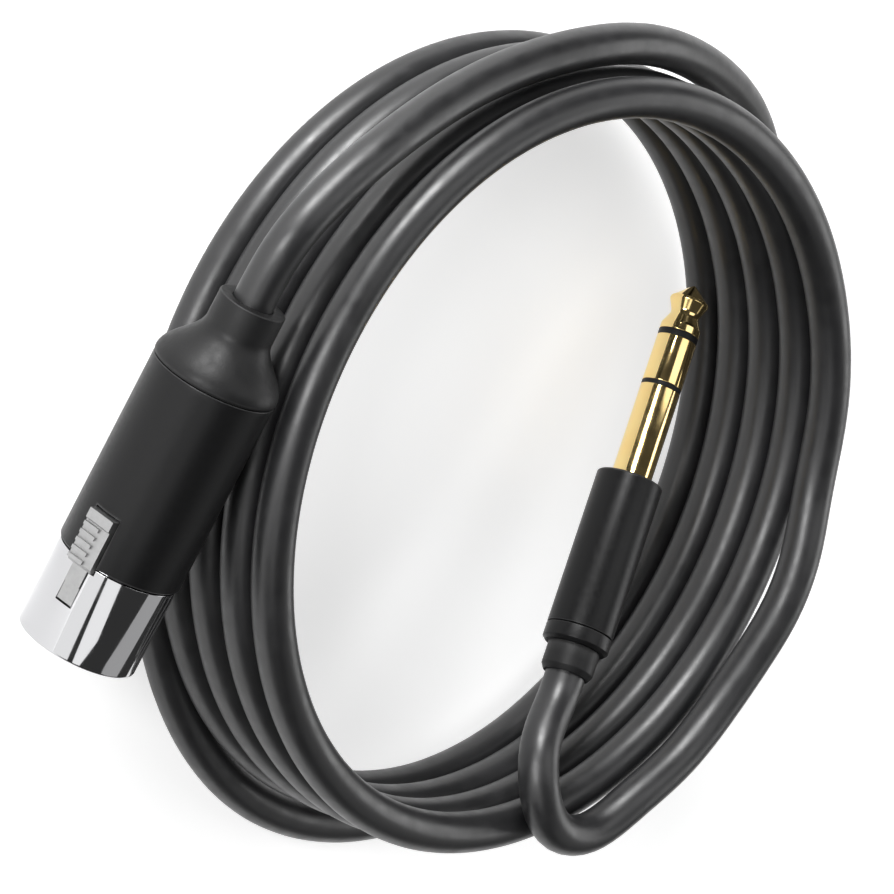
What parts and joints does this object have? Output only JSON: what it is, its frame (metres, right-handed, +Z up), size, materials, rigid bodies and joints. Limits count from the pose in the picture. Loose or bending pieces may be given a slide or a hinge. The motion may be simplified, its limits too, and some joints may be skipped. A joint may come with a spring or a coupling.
{
  "type": "coiled microphone cable with xlr socket and jack plug",
  "caption": "Black microphone cable laid up in a flat round coil, with a latching XLR socket on one end and a gold stereo jack plug on the other.",
  "frame": {"origin": "middle of the whole object's footprint, on the surface it lies on", "axes": "+Z up along the coil's axis; the XLR connector lies on the -X side with its front rim towards -Y, and the jack points to +Y inside the coil"},
  "size_m": [0.1495, 0.1336, 0.038],
  "materials": {
    "jacket": "satin black PVC jacket",
    "black_shell": "satin black coated metal",
    "black_plastic": "fine matt black moulding",
    "nickel": "bright nickel plate",
    "satin_metal": "satin grey metal",
    "gold": "polished gold plate",
    "tag_brass": "tinned brass",
    "copper": "bare stranded copper",
    "red_insulation": "red wire insulation",
    "white_insulation": "white wire insulation"
  },
  "bodies": {
    "cable": {"cable_coil": "jacket", "cable_xlr_lead": "jacket", "cable_jack_lead": "jacket", "xlr_nose_shell": "nickel", "xlr_sleeve": "black_shell", "xlr_boot": "black_plastic", "xlr_insert": "black_plastic", "xlr_contact_1": "gold", "xlr_contact_2": "gold", "xlr_contact_3": "gold", "xlr_latch_pin": "satin_metal", "xlr_latch_spring": "satin_metal", "xlr_cable_chuck": "black_plastic", "xlr_cable_end": "jacket", "xlr_wire_shield": "copper", "xlr_wire_hot": "red_insulation", "xlr_wire_cold": "white_insulation", "jack_tip": "gold", "jack_tip_insulator": "black_plastic", "jack_ring": "gold", "jack_ring_insulator": "black_plastic", "jack_sleeve": "gold", "jack_tip_lug": "tag_brass", "jack_ring_lug": "tag_brass", "jack_cable_clamp": "tag_brass", "jack_housing": "black_shell", "jack_liner": "black_plastic", "jack_collar": "black_shell", "jack_strain_relief": "black_plastic", "jack_cable_end": "jacket", "jack_wire_tip": "red_insulation", "jack_wire_ring": "white_insulation", "jack_wire_shield": "copper"},
    "latch": {"xlr_latch": "satin_metal"}
  },
  "joints": [
    {"name": "latch_press", "type": "hinge", "parent": "cable", "child": "latch", "pos_m": [-0.06864, -0.0278, 0.02006], "axis": [0.2242, -0.2049, 0.9528], "range_deg": [0, 4], "stiffness_Nm_per_rad": 0.2, "springref_deg": -5.73}
  ]
}
